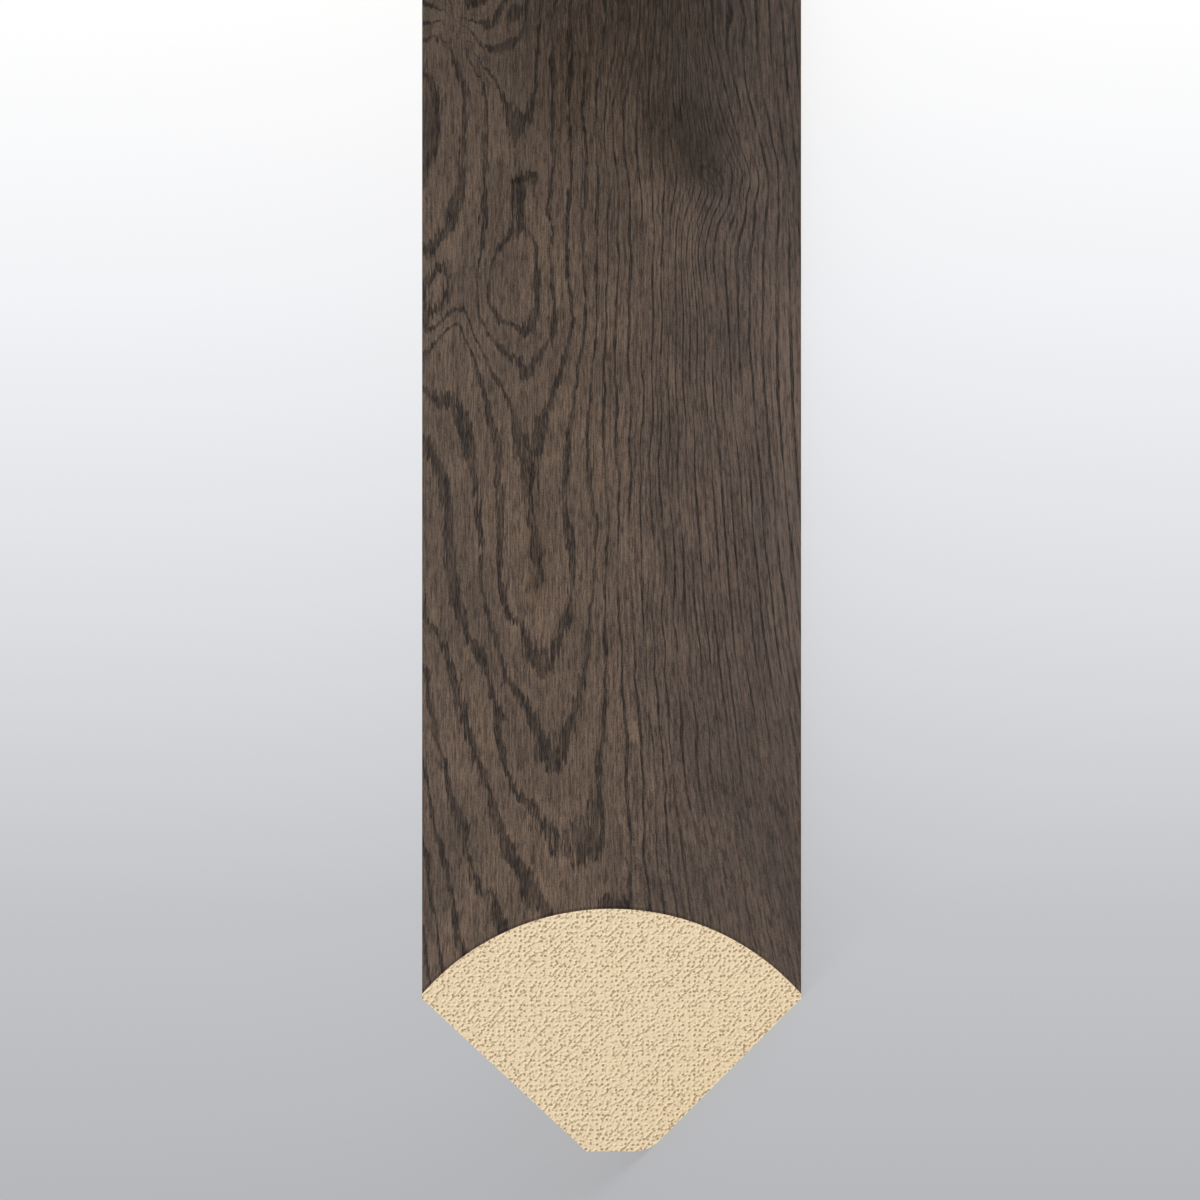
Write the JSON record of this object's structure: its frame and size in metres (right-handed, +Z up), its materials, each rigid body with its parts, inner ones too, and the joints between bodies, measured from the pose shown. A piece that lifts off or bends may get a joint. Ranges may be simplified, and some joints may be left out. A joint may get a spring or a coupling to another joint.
{
  "type": "quarter round moulding",
  "caption": "Straight stick of trim with flat legs and a bulging round face in dark oak veneer over a pale fibreboard core, for the joint between a floor and a wall.",
  "frame": {"origin": "under the middle of the bounding box, in the plane of the floor leg", "axes": "+X along the stick, +Y out of the leg that goes against the wall, +Z up out of the leg that lies on the floor; the round face looks to -Y and +Z"},
  "size_m": [0.9144, 0.0188, 0.0195],
  "materials": {
    "oak_veneer": "matte dark brown stain, open grain",
    "fibreboard": "bare, sawn"
  },
  "bodies": {
    "root": {"face_veneer": "oak_veneer", "fibreboard_core": "fibreboard"}
  },
  "joints": []
}
